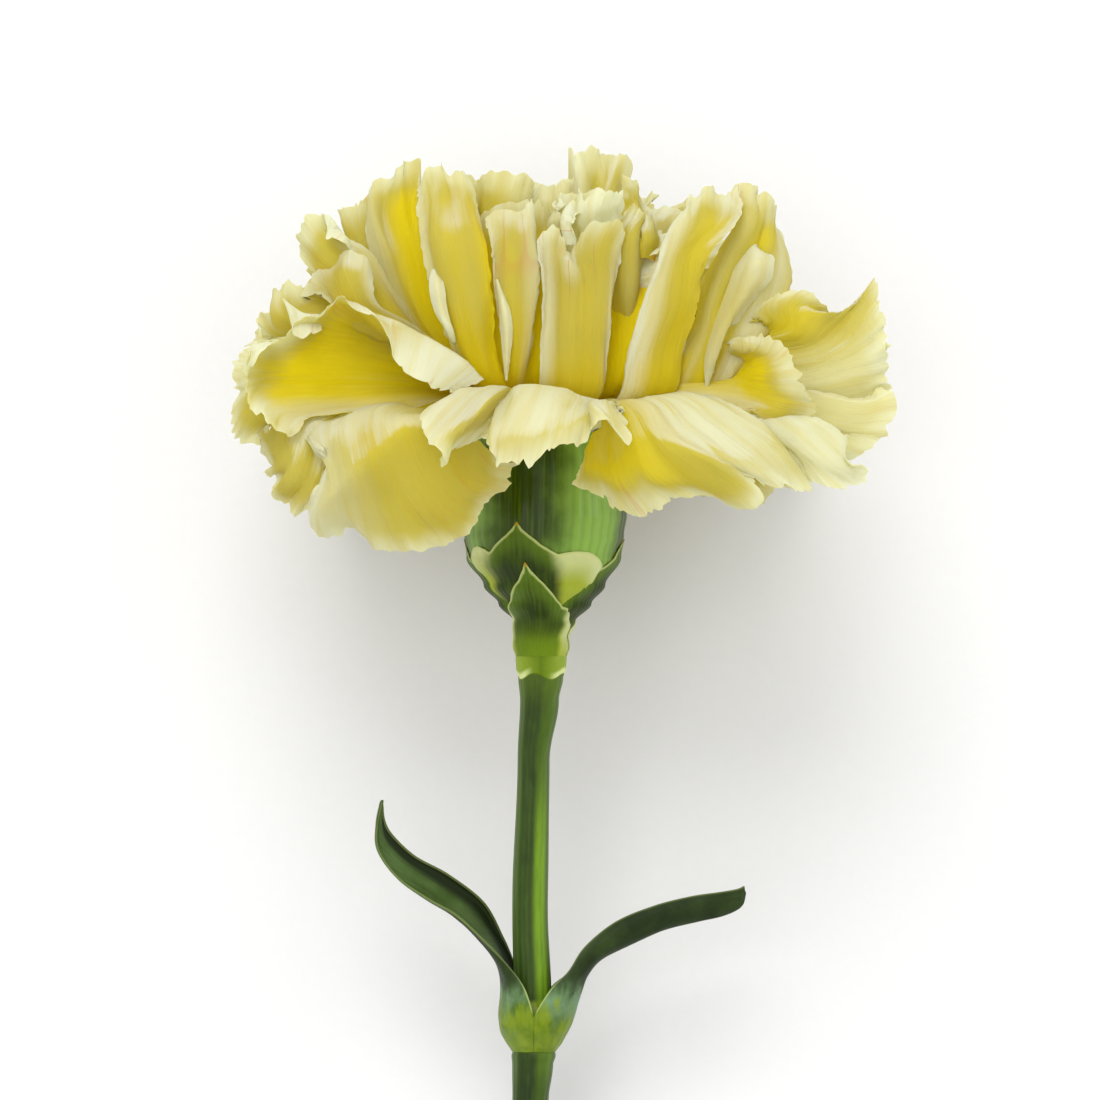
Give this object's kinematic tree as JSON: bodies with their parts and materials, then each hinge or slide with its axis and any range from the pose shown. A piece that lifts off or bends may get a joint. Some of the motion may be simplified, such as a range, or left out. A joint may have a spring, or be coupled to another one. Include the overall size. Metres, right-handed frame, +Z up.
{
  "type": "cut carnation",
  "caption": "Cut carnation lying down: double ruffled yellow bloom, green calyx with scale bracts, and a short stem with a swollen joint and clasping leaves.",
  "frame": {"origin": "on the surface that the flower lies on, below the middle of its box", "axes": "+Y along the stem from its cut end towards the bloom, +Z up from the surface, +X to the right of a viewer who looks down with the bloom at the top"},
  "size_m": [0.0658, 0.1462, 0.0536],
  "materials": {
    "petal": "soft matte petals, pale cream yellow at the rims and deep yellow in the folds",
    "calyx": "satin green with fine lengthwise ribs, bracts with pale thin margins",
    "stem": "satin green",
    "leaf": "blue green with a faint waxy bloom"
  },
  "bodies": {
    "root": {"bloom": "petal", "calyx": "calyx", "stem": "stem", "leaf_left": "leaf", "leaf_right": "leaf"}
  },
  "joints": []
}
